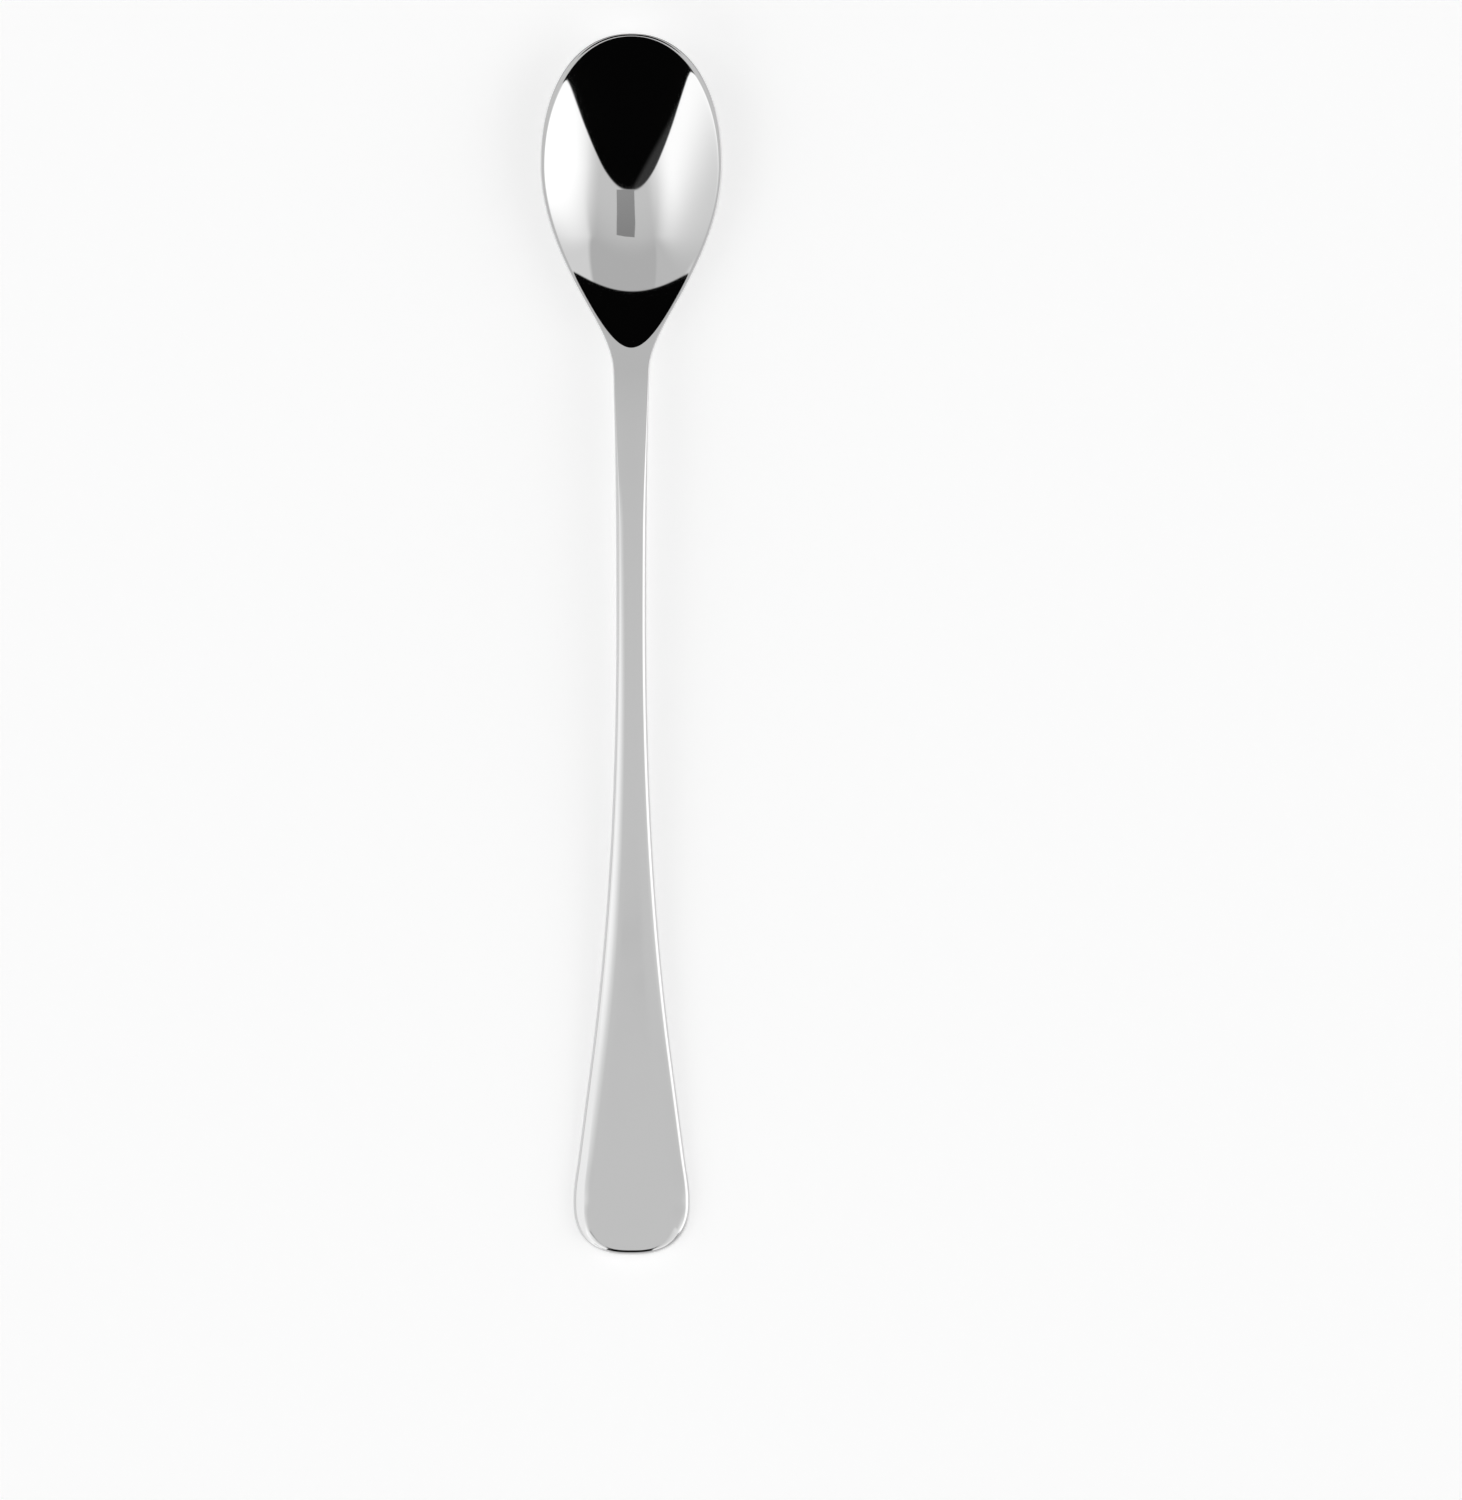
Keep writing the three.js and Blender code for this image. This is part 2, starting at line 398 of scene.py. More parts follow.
    @cached_property
    def floor(self) -> Profile:
        """Height of the hollow's floor along the middle.

        Returns:
            The profile.
        """
        return Profile((
            Station(self.y_hollow_tip, self.face.at(self.y_hollow_tip), self.tip_slope),
            Station(self.y_deepest, self.bowl_wall, 0.0),
            Station(self.y_root, self.face.at(self.y_root), -self.root_slope),
        ))

    @staticmethod
    def tip_half(size: Pair, power: float, along: float) -> float:
        """Half width of a superellipse at a distance along y from its middle."""
        return size[0] * max(0.0, 1 - (along / size[1]) ** power) ** (1 / power)

    def outline_half(self, y: float) -> float:
        """Half width of the spoon, with the bowl's rounded tip.

        Args:
            y: Place along the spoon.

        Returns:
            The half width.
        """
        if y > self.y_widest:
            return self.tip_half(self.tip_size, self.bowl_roundness, y - self.y_widest)
        return self.outline.at(max(y, self.y_end_widest))

    def hollow_half(self, y: float) -> float:
        """Half width of the hollow, which closes in a rounded V at the root.

        Args:
            y: Place along the spoon.

        Returns:
            The half width, 0 beyond the root.
        """
        if y > self.y_widest:
            return self.tip_half(self.hollow_size, self.hollow_roundness, y - self.y_widest)
        if y >= self.y_flank:
            return self.outline.at(y) - self.rim_land
        radius, spread = self.root_curve
        past = max(0.0, y - self.y_root)
        return math.sqrt(past * (2 * radius + spread * past))

    @staticmethod
    def edge_fall(rho: float, reach: float, width: float, drop: float) -> float:
        """Fall of a quarter-ellipse edge of the given width and drop at the share rho of the reach."""
        t = max(0.0, 1 - (1 - rho) * reach / width)
        return drop * (1 - math.sqrt(max(0.0, 1 - t * t)))

    @staticmethod
    def roll_width(roll: float, reach: float) -> float:
        """A roll no wider than the half width that carries it."""
        return roll * reach / math.hypot(roll, reach)

    def face_height(self, y: float, rho: float, reach: float, foot: float) -> float:
        """Height of the face without the hollow, crowned along the handle.

        Args:
            y: Place along the spoon.
            rho: Distance from the middle as a share of reach.
            reach: Distance from the middle to the outline.
            foot: 0 along the handle's sides and 1 at the middle of its foot.

        Returns:
            The height above the table.
        """
        on_handle = smooth(-self.y_neck, -self.y_stem, -y)
        width = mix(self.rim_round, self.handle_round, on_handle)
        drop = mix(self.rim_fall, self.handle_fall, on_handle)
        crown_width = self.roll_width(mix(self.crown_reach, self.foot_crown, foot), reach)
        inside = min(1.0, (1 - rho) * reach / crown_width)
        crown = self.crown_slope * crown_width * (1 - inside) ** 2 * (2 + inside) / 3
        return self.face.at(y) - self.edge_fall(rho, reach, width, drop) - on_handle * crown

    def land_dip(self, y: float, hollow: Pair) -> float:
        """How far the rim's land falls towards the hollow, most at the tip's corners and not at all at the root.

        Args:
            y: Place of the section's middle.
            hollow: Step from there to the hollow's edge.

        Returns:
            The fall.
        """
        diagonal = 2 * hollow[0] * hollow[1] / max(self.weld, hollow[0] ** 2 + hollow[1] ** 2)
        return (self.rim_dip + self.corner_dip * diagonal ** 2) * smooth(self.y_root, self.y_flank, y)

    def back_height(self, x: float, y: float, rho: float, reach: float, foot: float) -> float:
        """Height of the back: a belly under the bowl, flat with rolled edges under the handle.

        Args:
            x: Distance from the plane of symmetry.
            y: Place along the spoon.
            rho: Distance from the middle as a share of reach.
            reach: Distance from the middle to the outline.
            foot: 0 along the handle's sides and 1 at the middle of its foot.

        Returns:
            The height above the table.
        """
        under = self.back.at(y)
        rise = self.face_height(y, 1.0, reach, foot) - under
        below = self.rim_thickness - self.rim_fall
        bulge = (x / self.outline_half(y)) ** self.belly_power
        belly = (rise - below) * bulge + self.edge_fall(rho, reach, self.rim_round, below)
        flat = self.edge_fall(rho, reach, self.roll_width(self.back_roll, reach), rise)
        return under + mix(belly, flat, smooth(-self.y_flank, -self.y_neck, -y))

    def lip(self, y: float) -> float:
        """Size of the rounding at the hollow's edge, which is largest at the bowl's corners.

        Args:
            y: Place along the spoon.

        Returns:
            The rounding's size.
        """
        y_full = self.y_tip - self.tip_to_lip
        share = smooth(self.y_flank, y_full, y) * smooth(-self.y_tip, -y_full, -y)
        return self.rim_lip * mix(self.lip_least, 1.0, share)

    def hollow_fall(self, x: float, y: float) -> float:
        """Depth of the hollow below the face, rounded at its edge, with flanks that ease off towards the root.

        Args:
            x: Distance from the plane of symmetry.
            y: Place along the spoon.

        Returns:
            The depth, 0 beyond the root.
        """
        if y <= self.y_root:
            return 0.0
        depth = self.face.at(y) - self.floor.at(y)
        share = (x / self.hollow_half(y)) ** self.hollow_power
        ease = self.flank_ease * smooth(-self.y_widest, -self.y_flank, -y)
        lip = self.lip(y)
        return math.hypot(depth * (1 - share) * (1 - ease * share), lip) - lip


@dataclass
class SpoonSkin:
    """Fine mesh over the whole spoon, cut into bowl and handle at the neck.

    Both pieces take their shading from the uncut skin, so the flush joint doesn't show.
    """

    form: SpoonForm
    tip_rows: int = 60
    bowl_rows: int = 64
    root_rows: int = 44
    throat_rows: int = 14
    stem_rows: int = 180
    end_rows: int = 48
    hollow_columns: int = 26
    crease_shares: tuple[float, ...] = (0.972, 0.981, 0.988, 0.993, 0.997)
    land_columns: int = 44
    back_columns: int = 30
    points: list[Point] = field(default_factory=list)
    bowl_faces: list[list[int]] = field(default_factory=list)
    handle_faces: list[list[int]] = field(default_factory=list)
    neck_ring: list[int] = field(default_factory=list)
    normals: list[Vector] = field(default_factory=list)

    def half_section(self, y_middle: float, edge: Pair, hollow: Pair) -> list[Point]:
        """Half section from the middle of the face, over the edge, to the middle of the back.

        Args:
            y_middle: Place of the middle.
            edge: Step from the middle to the outline.
            hollow: Step from the middle to the hollow's edge.

        Returns:
            Points in order.
        """
        form = self.form
        reach = math.hypot(*edge)
        foot = smooth(0.0, 1.0, abs(edge[1]) / reach)
        dip = form.land_dip(y_middle, hollow)

        def face(x: float, step: float) -> float:
            """Height of the face at a step from the middle, without the hollow."""
            return form.face_height(y_middle + step, math.hypot(x, step) / reach, reach, foot)

        points = []
        for v in [k / self.hollow_columns for k in range(self.hollow_columns)] + list(self.crease_shares):
            x, step = v * hollow[0], v * hollow[1]
            y = y_middle + step
            points.append((x, y, face(x, step) - form.hollow_fall(x, y) - dip * v * v))
        for k in range(self.land_columns + 1):
            g = math.sin(k / self.land_columns * math.pi / 2)
            x, step = mix(hollow[0], edge[0], g), mix(hollow[1], edge[1], g)
            points.append((x, y_middle + step, face(x, step) - dip * smooth(form.rim_crest, 1.0, 1 - g)))
        for k in range(1, self.back_columns + 1):
            rho = math.cos(k / self.back_columns * math.pi / 2) if k < self.back_columns else 0.0
            x, y = rho * edge[0], y_middle + rho * edge[1]
            points.append((x, y, form.back_height(x, y, rho, reach, foot)))
        return points

    def rounded_end(self, y_middle: float, edge: Pair, roundness: float, hollow: Pair,
                    rows: int) -> list[list[Point]]:
        """Half sections that fan round an end, from the plane of symmetry to the widest place.

        Args:
            y_middle: Place of the fan's middle.
            edge: Half width and length of the outline's superellipse.
            roundness: Its power.
            hollow: Half width and length of the hollow's.
            rows: Number of sections.

        Returns:
            The sections.
        """
        sections = []
        for k in range(rows):
            angle = (1 - k / rows) * math.pi / 2
            across, along = (max(0.0, math.cos(angle)) if k else 0.0), math.sin(angle)
            outer, inner = 2 / roundness, 2 / self.form.hollow_roundness
            sections.append(self.half_section(
                y_middle,
                (edge[0] * across ** outer, edge[1] * along ** outer),
                (hollow[0] * across ** inner, hollow[1] * along ** inner)))
        return sections

    def straight(self, y: float) -> list[Point]:
        """Half section straight across the spoon."""
        return self.half_section(y, (self.form.outline.at(y), 0.0), (self.form.hollow_half(y), 0.0))

    def bowl_sections(self) -> list[list[Point]]:
        """Half sections from the tip to the joint, closer together where the hollow closes.

        Returns:
            The sections.
        """
        form = self.form
        sections = self.rounded_end(form.y_widest, form.tip_size, form.bowl_roundness, form.hollow_size,
                                    self.tip_rows)
        places = [mix(form.y_widest, form.y_flank, k / self.bowl_rows) for k in range(self.bowl_rows)]
        places += [mix(form.y_root, form.y_flank, (1 - k / self.root_rows) ** 2) for k in range(self.root_rows)]
        places += [mix(form.y_root, form.y_neck, k / self.throat_rows) for k in range(self.throat_rows + 1)]
        return sections + [self.straight(y) for y in places]

    def handle_sections(self) -> list[list[Point]]:
        """Half sections from the joint to the end.

        Returns:
            The sections.
        """
        form = self.form
        places = [mix(form.y_neck, form.y_end_widest, k / self.stem_rows) for k in range(self.stem_rows + 1)]
        end = self.rounded_end(form.y_end_widest, form.end_size, form.end_roundness, (0.0, 0.0), self.end_rows)
        return [self.straight(y) for y in places] + end[::-1]

    def weave(self) -> None:
        """Makes points and faces of both halves, welds what coincides and reads the shared normals."""
        known: dict[tuple[int, ...], int] = {}

        def number(p: Point) -> int:
            """Numbers a point, the same for points that coincide.

            Args:
                p: The point.

            Returns:
                Its number.
            """
            key = tuple(round(c / self.form.weld) for c in p)
            if key not in known:
                known[key] = len(self.points)
                self.points.append(p)
            return known[key]

        for sections, faces in ((self.bowl_sections(), self.bowl_faces),
                                (self.handle_sections(), self.handle_faces)):
            for side in (1, -1):
                rows = [[number((side * x, y, z)) for x, y, z in section] for section in sections]
                for upper, lower in zip(rows, rows[1:]):
                    for k in range(len(upper) - 1):
                        quad = [upper[k], lower[k], lower[k + 1], upper[k + 1]][::side]
                        face = list(dict.fromkeys(quad))
                        if len(face) > 2:
                            faces.append(face)
        joint = self.straight(self.form.y_neck)
        right = [number(p) for p in joint]
        left = [number((-x, y, z)) for x, y, z in joint]
        self.neck_ring = list(dict.fromkeys(right + left[::-1]))
        whole = bpy.data.meshes.new("spoon_skin")
        whole.from_pydata([tuple(c * MM for c in p) for p in self.points], [],
                          self.bowl_faces + self.handle_faces)
        self.normals = [v.normal.copy() for v in whole.vertices]
        bpy.data.meshes.remove(whole)


@dataclass(frozen=True)
class NeckJoint:
    """Tang on the bowl and socket in the handle, a braze gap apart."""

    tang_length: float = 6.5
    socket_side_wall: float = 1.35
    socket_face_wall: float = 0.85
    braze_gap: float = 0.15

    def bar(self, form: SpoonForm, part: JointPart) -> Point:
        """Width, thickness and length of the tang or the socket.

        Args:
            form: Shape of the spoon.
            part: Tang or socket.

        Returns:
            The three sizes.
        """
        width = form.neck_width - 2 * self.socket_side_wall
        thickness = form.neck_thickness - 2 * self.socket_face_wall
        if part is JointPart.SOCKET:
            return width, thickness, self.tang_length + self.braze_gap
        return width - 2 * self.braze_gap, thickness - 2 * self.braze_gap, self.tang_length


@dataclass(frozen=True)
class PolishedSteel:
    """18/10 stainless steel, pressed or forged and then buffed to a mirror.

    The eye gets the surroundings in it: crisp dark and light shapes, bent by the form.
    Only a faint haze, hair-fine buffing marks along the spoon and a slight waviness of the
    sheet show that it is a made thing and not glass.
    """

    name: str
    light: str = "#d5d5d5"
    dark: str = "#d2d2d2"
    haze_low: float = 0.02
    haze_high: float = 0.045
    haze_size: float = 14.0
    haze_detail: float = 3.0
    haze_gain: float = 0.55
    haze_span: Pair = (0.3, 0.7)
    mark_width: float = 0.35
    mark_length: float = 14.0
    mark_depth: float = 0.00004
    mark_detail: float = 2.0
    wave_size: float = 9.0
    wave_height: float = 0.0012
    wave_detail: float = 1.0

    def material(self) -> bpy.types.Material:
        """Makes the material.

        Returns:
            The new material.
        """
        material = bpy.data.materials.new(self.name)
        tree = empty_tree(material)
        place = add_node(tree, "ShaderNodeTexCoord").outputs["Object"]
        haze = noise(tree, place, 1 / (self.haze_size * MM), self.haze_detail, self.haze_gain)
        colour = tint(tree, haze, self.dark, self.light)
        rough = add_node(tree, "ShaderNodeMapRange", inputs={
            "Value": haze, "From Min": self.haze_span[0], "From Max": self.haze_span[1],
            "To Min": self.haze_low, "To Max": self.haze_high}).outputs["Result"]
        # Real buffing marks are a few micrometres wide. These are drawn coarser, so that they just show.
        stretched = add_node(tree, "ShaderNodeMapping", inputs={"Vector": place, "Scale": (
            1 / (self.mark_width * MM), 1 / (self.mark_length * MM), 1 / (self.mark_width * MM))}).outputs[0]
        marks = noise(tree, stretched, 1.0, self.mark_detail)
        waves = noise(tree, place, 1 / (self.wave_size * MM), self.wave_detail)
        wavy = add_node(tree, "ShaderNodeBump", inputs={
            "Strength": 1.0, "Distance": self.wave_height * MM, "Height": waves}).outputs[0]
        buffed = add_node(tree, "ShaderNodeBump", inputs={
            "Strength": 1.0, "Distance": self.mark_depth * MM, "Height": marks, "Normal": wavy}).outputs[0]
        steel = add_node(tree, "ShaderNodeBsdfPrincipled", inputs={
            "Base Color": colour, "Metallic": 1.0, "Roughness": rough, "Normal": buffed}).outputs[0]
        add_node(tree, "ShaderNodeOutputMaterial", inputs={"Surface": steel})
        return material


@dataclass(frozen=True)
class SilverBraze:
    """Silver brazing alloy as it set in the joint.

    A warm pale metal with the dull, slightly grainy skin that a filler has where it froze.
    """

    name: str = "silver_braze_as_set"
    light: str = "#ddd6c4"
    dark: str = "#bdb49f"
    grain_size: float = 0.25
    grain_detail: float = 4.0
    rough_low: float = 0.34
    rough_high: float = 0.52
    grain_height: float = 0.008

    def material(self) -> bpy.types.Material:
        """Makes the material.

        Returns:
            The new material.
        """
        material = bpy.data.materials.new(self.name)
        tree = empty_tree(material)
        place = add_node(tree, "ShaderNodeTexCoord").outputs["Object"]
        grain = noise(tree, place, 1 / (self.grain_size * MM), self.grain_detail)
        colour = tint(tree, grain, self.dark, self.light)
        rough = add_node(tree, "ShaderNodeMapRange", inputs={
            "Value": grain, "To Min": self.rough_low, "To Max": self.rough_high}).outputs["Result"]
        bumpy = add_node(tree, "ShaderNodeBump", inputs={
            "Strength": 1.0, "Distance": self.grain_height * MM, "Height": grain}).outputs[0]
        braze = add_node(tree, "ShaderNodeBsdfPrincipled", inputs={
            "Base Color": colour, "Metallic": 1.0, "Roughness": rough, "Normal": bumpy}).outputs[0]
        add_node(tree, "ShaderNodeOutputMaterial", inputs={"Surface": braze})
        return material


@dataclass
class NeckPiece:
    """One half of the spoon: its share of the skin, closed at the neck by its part of the joint."""

    name: str
    node: CadNode
    slot: Slot
    part: JointPart
    skin: SpoonSkin
    joint: NeckJoint
    finish: PolishedSteel

    def build(self) -> bpy.types.Object:
        """Builds the closed mesh with the uncut skin's shading.

        Returns:
            The new object, linked to the scene.
        """
        faces = self.skin.bowl_faces if self.part is JointPart.TANG else self.skin.handle_faces
        used = sorted({i for face in faces for i in face})
        place = {old: new for new, old in enumerate(used)}
        points = [self.skin.points[i] for i in used]
        skin_faces = [[place[i] for i in face] for face in faces]
        ring = [place[i] for i in self.skin.neck_ring]
        joint_faces = self.close(points, ring)
        mesh = bpy.data.meshes.new(self.name)
        mesh.from_pydata([tuple(c * MM for c in p) for p in points], [], skin_faces + joint_faces)
        shaped = bmesh.new()
        shaped.from_mesh(mesh)
        bmesh.ops.recalc_face_normals(shaped, faces=shaped.faces)
        shaped.to_mesh(mesh)
        shaped.free()
        self.shade(mesh, len(skin_faces), [self.skin.normals[i] for i in used])
        piece = bpy.data.objects.new(self.name, mesh)
        bpy.context.scene.collection.objects.link(piece)
        return piece

    def close(self, points: list[Point], ring: list[int]) -> list[list[int]]:
        """Adds the joint's face and the tang or socket in its middle.

        Args:
            points: The piece's points, to which the joint's are added.
            ring: Numbers of the points round the neck, in order.

        Returns:
            The faces of the joint.
        """
        form = self.skin.form
        width, thickness, length = self.joint.bar(form, self.part)
        z_middle = form.neck_height - form.neck_thickness / 2
        loops = [ring, [], []]
        for i in ring:
            x, z = points[i][0], points[i][2] - z_middle
            scale = min(width / 2 / max(abs(x), TINY), thickness / 2 / max(abs(z), TINY))
            for loop, y in ((loops[1], form.y_neck), (loops[2], form.y_neck - length)):
                loop.append(len(points))
                points.append((x * scale, y, z_middle + z * scale))
        faces = []
        for outer, inner in zip(loops, loops[1:]):
            for k, last in enumerate(range(-1, len(ring) - 1)):
                faces.append([outer[last], outer[k], inner[k], inner[last]])
        faces.append(loops[2])
        return faces

    @staticmethod
    def shade(mesh: bpy.types.Mesh, skin_count: int, normals: list[Vector]) -> None:
        """Gives the skin the uncut skin's normals and leaves the joint's faces flat.

        Args:
            mesh: The piece's mesh.
            skin_count: Number of its first faces that belong to the skin.
            normals: Normals of the skin's points.
        """
        split = [Vector((0, 0, 0)) for _ in mesh.loops]
        for face in mesh.polygons:
            on_skin = face.index < skin_count
            face.use_smooth = on_skin
            for corner in face.loop_indices:
                number = mesh.loops[corner].vertex_index
                split[corner] = normals[number] if on_skin else face.normal.copy()
        mesh.normals_split_custom_set(split)

    def dress(self, piece: bpy.types.Object) -> None:
        """Gives the piece its finish and its place in the frame.

        Args:
            piece: The built object.
        """
        piece.data.materials.append(self.finish.material())
        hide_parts(self.node.value)
        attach(piece, "root")


@dataclass
class BrazedFiller:
    """The filler inside the joint, which keeps its own solid."""

    finish: SilverBraze = field(default_factory=SilverBraze)

    def dress(self) -> bpy.types.Object:
        """Gives the solid its finish.

        Returns:
            The dressed node.
        """
        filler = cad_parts[CadNode.BRAZE.value]
        filler.data.materials.clear()
        filler.data.materials.append(self.finish.material())
        return filler


@dataclass(frozen=True)
class PaperFloor:
    """Matt white paper sweep under the spoon, lit to white, which keeps a soft shadow."""

    name: str = "paper_floor"
    half_size: float = 6000.0
    drop: float = 0.02
    light: str = "#f6f6f6"
    dark: str = "#f2f2f2"
    fibre_size: float = 1.2
    fibre_detail: float = 3.0
    glow: float = 0.42

    def build(self) -> bpy.types.Object:
        """Builds the floor.

        Returns:
            The floor.
        """
        mesh = bpy.data.meshes.new(self.name)
        half, z = self.half_size * MM, -self.drop * MM
        plan = ((-half, -half), (half, -half), (half, half), (-half, half))
        mesh.from_pydata([(x, y, z) for x, y in plan], [], [list(range(len(plan)))])
        floor = bpy.data.objects.new(self.name, mesh)
        bpy.context.scene.collection.objects.link(floor)
        floor.data.materials.append(self.material())
        return floor

    def material(self) -> bpy.types.Material:
        """Makes the paper, brought up to white for the eye and for what mirrors it.

        Returns:
            The new material.
        """
        material = bpy.data.materials.new("white_paper_matt")
        tree = empty_tree(material)
        place = add_node(tree, "ShaderNodeTexCoord").outputs["Object"]
        fibre = noise(tree, place, 1 / (self.fibre_size * MM), self.fibre_detail)
        colour = tint(tree, fibre, self.dark, self.light)
        paper = add_node(tree, "ShaderNodeBsdfDiffuse", inputs={"Color": colour}).outputs[0]
        path = add_node(tree, "ShaderNodeLightPath").outputs
        direct = calc(tree, "MAXIMUM", path["Is Camera Ray"], path["Is Glossy Ray"])
        seen = calc(tree, "MAXIMUM", direct, path["Is Transmission Ray"])
        level = calc(tree, "MULTIPLY", seen, self.glow)
        shine = add_node(tree, "ShaderNodeEmission", inputs={"Strength": level}).outputs[0]
        both = add_node(tree, "ShaderNodeAddShader", inputs={0: paper, 1: shine}).outputs[0]
        add_node(tree, "ShaderNodeOutputMaterial", inputs={"Surface": both})
        return material


@dataclass(frozen=True)
class Flag:
    """Black cloth that the steel mirrors, as a rounded field of directions in degrees.

    across is the direction's angle from the plane of symmetry and along its angle from straight up towards +Y.
    lean is how much further along the field lies for each degree across.
    """

    across: float
    along: float
    half_across: float
    half_along: float
    power: float
    soft: float
    lean: float = 0.0


@dataclass(frozen=True)
class SoftBox:
    """Large soft light, by the direction of its middle and the cosines between which it fades in."""

    axis: Point
    fade_from: float
    fade_to: float
    level: float


@dataclass(frozen=True)
class Studio:
    """Soft light all round: a pale dome and walls, a softbox at either side and black cloths for contrast."""

    dome_near: float = 0.805
    dome_far: float = 0.625
    dome_turn: Pair = (-10.0, 22.5)
    right_wall: SoftBox = SoftBox((0.594, -0.636, -0.490), fade_from=-0.038, fade_to=0.022, level=0.935)
    left_wall: SoftBox = SoftBox((-0.742, -0.536, -0.406), fade_from=-0.08, fade_to=-0.02, level=0.72)
    left: SoftBox = SoftBox((-0.723, -0.691, 0.0), fade_from=0.254, fade_to=0.483, level=1.495)
    left_fade: Pair = (0.475, 0.984)
    left_end: float = 0.2
    right: SoftBox = SoftBox((0.778, -0.628, 0.0), fade_from=0.40, fade_to=0.613, level=1.645)
    near_cloth: Flag = Flag(1.42, -35.96, half_across=30.05, half_along=27.3, power=2.71, soft=0.03)
    near_skirt: Flag = Flag(0.0, -32.84, half_across=40.0, half_along=10.0, power=12.0, soft=0.2, lean=0.0205)
    near_hem: Pair = (-9.5, -7.0)
    near_hem_lean: float = 0.45
    near_hem_level: float = 0.05
    far_axis: Point = (0.0, 0.9851, -0.1718)
    far_cosine: float = 0.4832
    far_soft: float = 0.004
    cloth_level: float = 0.002
    far_room: SoftBox = SoftBox((0.0, 1.0, 0.0), fade_from=0.86, fade_to=0.93, level=0.62)
    near_room: SoftBox = SoftBox((0.45, -0.83, -0.33), fade_from=0.42, fade_to=0.62, level=0.62)
    horizon: Pair = (0.03, 0.10)
    horizon_level: float = 1.0
    white: str = "#ffffff"
    backdrop_level: float = 1.0

    @staticmethod
    def facing(tree: Tree, ray: Socket, axis: Point) -> Socket:
        """Cosine of the angle between the direction and an axis."""
        return add_node(tree, "ShaderNodeVectorMath", {"operation": "DOT_PRODUCT"}, {
            0: ray, 1: axis}).outputs["Value"]

    @staticmethod
    def ramp(tree: Tree, value: Socket, start: Pair, stop: Pair) -> Socket:
        """Eased ramp of a value.

        Args:
            tree: The world's node tree.
            value: The value.
            start: Value at the start and what it gives.
            stop: Value at the stop and what it gives.

        Returns:
            The ramp's socket.
        """
        return add_node(tree, "ShaderNodeMapRange", {"interpolation_type": "SMOOTHSTEP"}, {
            "Value": value, "From Min": start[0], "From Max": stop[0],
            "To Min": start[1], "To Max": stop[1]}).outputs["Result"]

    def lit(self, tree: Tree, ray: Socket, light: Socket, box: SoftBox, fade: Socket | float) -> Socket:
        """Brings in a soft light over what is there already.

        Args:
            tree: The world's node tree.
            ray: The direction.
            light: What is there already.
            box: The soft light.
            fade: Share of it that is let through.

        Returns:
            The socket with both.
        """
        full = self.ramp(tree, self.facing(tree, ray, box.axis), (box.fade_from, 0.0), (box.fade_to, 1.0))
        return blend(tree, calc(tree, "MULTIPLY", full, fade), light, box.level)

    @staticmethod
    def leaning(tree: Tree, across: Socket, along: Socket, lean: float) -> Socket:
        """The angle along, less the lean for each degree across."""
        return calc(tree, "MULTIPLY_ADD", across, -lean, along)

    def cloth(self, tree: Tree, across: Socket, along: Socket, flag: Flag) -> Socket:
        """1 in the directions of a cloth and 0 elsewhere.

        Args:
            tree: The world's node tree.
            across: The direction's angle from the plane of symmetry.
            along: Its angle from straight up.
            flag: The cloth.

        Returns:
            The mask's socket.
        """
        leaning = self.leaning(tree, across, along, flag.lean)
        parts = []
        for angle, middle, half in ((across, flag.across, flag.half_across), (leaning, flag.along, flag.half_along)):
            off = calc(tree, "SUBTRACT", angle, math.radians(middle))
            share = calc(tree, "DIVIDE", off, math.radians(half))
            parts.append(calc(tree, "POWER", calc(tree, "ABSOLUTE", share), flag.power))
        return self.ramp(tree, calc(tree, "ADD", *parts), (1 - flag.soft, 1.0), (1 + flag.soft, 0.0))

    def build(self) -> bpy.types.World:
        """Builds the world that lights the spoon and that the steel mirrors.

        Returns:
            The world, set on the scene.
        """
        world = bpy.data.worlds.new("soft_studio")
        bpy.context.scene.world = world
        tree = empty_tree(world)
        ray = add_node(tree, "ShaderNodeTexCoord").outputs["Generated"]
        x, y, z = add_node(tree, "ShaderNodeSeparateXYZ", inputs={0: ray}).outputs
        across = calc(tree, "ARCSINE", x)
        along = calc(tree, "ARCTAN2", y, z)
        turn = [math.radians(a) for a in self.dome_turn]
        light = self.ramp(tree, along, (turn[0], self.dome_near), (turn[1], self.dome_far))
        end = self.ramp(tree, x, (-self.left_fade[1], self.left_end), (-self.left_fade[0], 1.0))
        for box, fade in ((self.right_wall, 1.0), (self.left_wall, 1.0), (self.left, end), (self.right, 1.0)):
            light = self.lit(tree, ray, light, box, fade)
        low = self.ramp(tree, z, (self.horizon[0], 1.0), (self.horizon[1], 0.0))
        light = blend(tree, low, light, self.horizon_level)
        far = self.facing(tree, ray, self.far_axis)
        hem = self.ramp(tree, self.leaning(tree, across, along, self.near_hem_lean),
                        (math.radians(self.near_hem[0]), self.cloth_level),
                        (math.radians(self.near_hem[1]), self.near_hem_level))
        cloths = (
            (self.cloth(tree, across, along, self.near_cloth), hem),
            (self.cloth(tree, across, along, self.near_skirt), self.cloth_level),
            (self.ramp(tree, far, (self.far_cosine - self.far_soft, 0.0), (self.far_cosine + self.far_soft, 1.0)),
             self.cloth_level),
        )
        for mask, level in cloths:
            light = blend(tree, mask, light, level)
        for box in (self.far_room, self.near_room):
            light = self.lit(tree, ray, light, box, 1.0)
        seen = add_node(tree, "ShaderNodeLightPath").outputs["Is Camera Ray"]
        level = blend(tree, seen, light, self.backdrop_level)
        shine = add_node(tree, "ShaderNodeBackground", inputs={
            "Color": linear(self.white), "Strength": level}).outputs[0]
